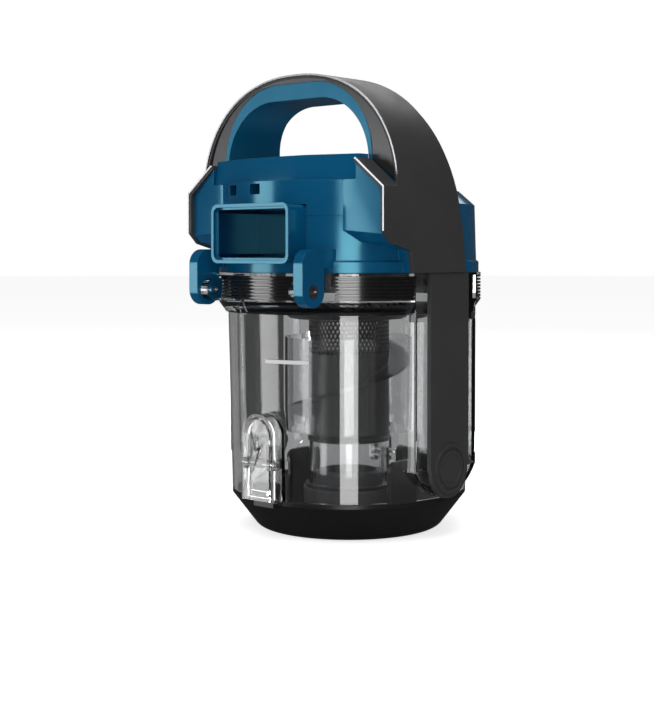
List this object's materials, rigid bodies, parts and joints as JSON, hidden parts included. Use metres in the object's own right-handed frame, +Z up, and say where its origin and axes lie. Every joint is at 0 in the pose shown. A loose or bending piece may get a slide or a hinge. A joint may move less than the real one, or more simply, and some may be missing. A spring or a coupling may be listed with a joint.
{
  "type": "vacuum cleaner dust container",
  "caption": "Clear cyclone dust bin of a canister vacuum, with a drop-open base flap, a release button and a hinged head with an arch carry handle.",
  "frame": {"origin": "centre of the air outlet at the base flap's flat underside, flap shut", "axes": "+Z up, -Y to the inlet duct and the release button, +Y to the base flap's hinge, X across the arch handle"},
  "size_m": [0.1596, 0.1794, 0.275],
  "materials": {
    "clear_plastic": "clear, polished, slightly smoky",
    "smoke_plastic": "smoky translucent",
    "blue_plastic": "satin moulded",
    "dark_plastic": "satin dark grey, fine texture",
    "black_plastic": "near black, satin",
    "grey_plastic": "satin mid grey",
    "white_plastic": "matt",
    "white_print": "matt",
    "bright_trim": "polished",
    "steel": "zinc plated",
    "black_rubber": "soft, satin",
    "filter_fleece": "pleated fleece"
  },
  "bodies": {
    "bin": {"bin_shell": "clear_plastic", "collar_ring": "black_rubber", "fill_mark": "white_print", "side_column_left": "dark_plastic", "side_column_right": "dark_plastic", "column_cap_left": "dark_plastic", "column_cap_right": "dark_plastic", "shroud": "black_plastic", "shroud_skirt": "black_plastic", "spiral_vane": "smoke_plastic", "guide_sleeve": "clear_plastic", "dust_tube": "clear_plastic", "button_pin": "steel", "button_spring": "steel", "lid_hinge_pin": "steel", "collar_gasket": "black_rubber"},
    "flap": {"base_flap": "black_plastic", "outlet_collar": "dark_plastic", "outlet_seal": "black_rubber", "flap_seal": "black_rubber", "flap_latch": "dark_plastic"},
    "button": {"release_button": "clear_plastic"},
    "head": {"head_housing": "blue_plastic", "top_plate": "blue_plastic", "inlet_duct": "blue_plastic", "rear_cover": "blue_plastic", "handle_cover": "dark_plastic", "handle_grip": "blue_plastic", "handle_bezel": "grey_plastic", "handle_trim": "bright_trim", "cheek_trim_left": "bright_trim", "cheek_trim_right": "bright_trim", "filter_frame": "dark_plastic", "filter_pleats": "filter_fleece", "filter_seal": "black_rubber", "filter_knob": "white_plastic", "hinge_screws": "steel", "rear_screws": "steel", "catch_pin": "steel"},
    "catch": {"head_catch": "dark_plastic"}
  },
  "joints": [
    {"name": "flap_hinge", "type": "hinge", "parent": "bin", "child": "flap", "pos_m": [0, 0.08, 0.033], "axis": [1, 0, 0], "range_deg": [0, 85]},
    {"name": "button_press", "type": "hinge", "parent": "bin", "child": "button", "pos_m": [0, -0.0776, 0.046], "axis": [-1, 0, 0], "range_deg": [0, 7], "stiffness_Nm_per_rad": 0.3},
    {"name": "head_hinge", "type": "hinge", "parent": "bin", "child": "head", "pos_m": [0, -0.083, 0.147], "axis": [1, 0, 0], "range_deg": [0, 75]},
    {"name": "catch_pull", "type": "hinge", "parent": "head", "child": "catch", "pos_m": [0, 0.082, 0.17], "axis": [1, 0, 0], "range_deg": [0, 12], "stiffness_Nm_per_rad": 0.3}
  ]
}
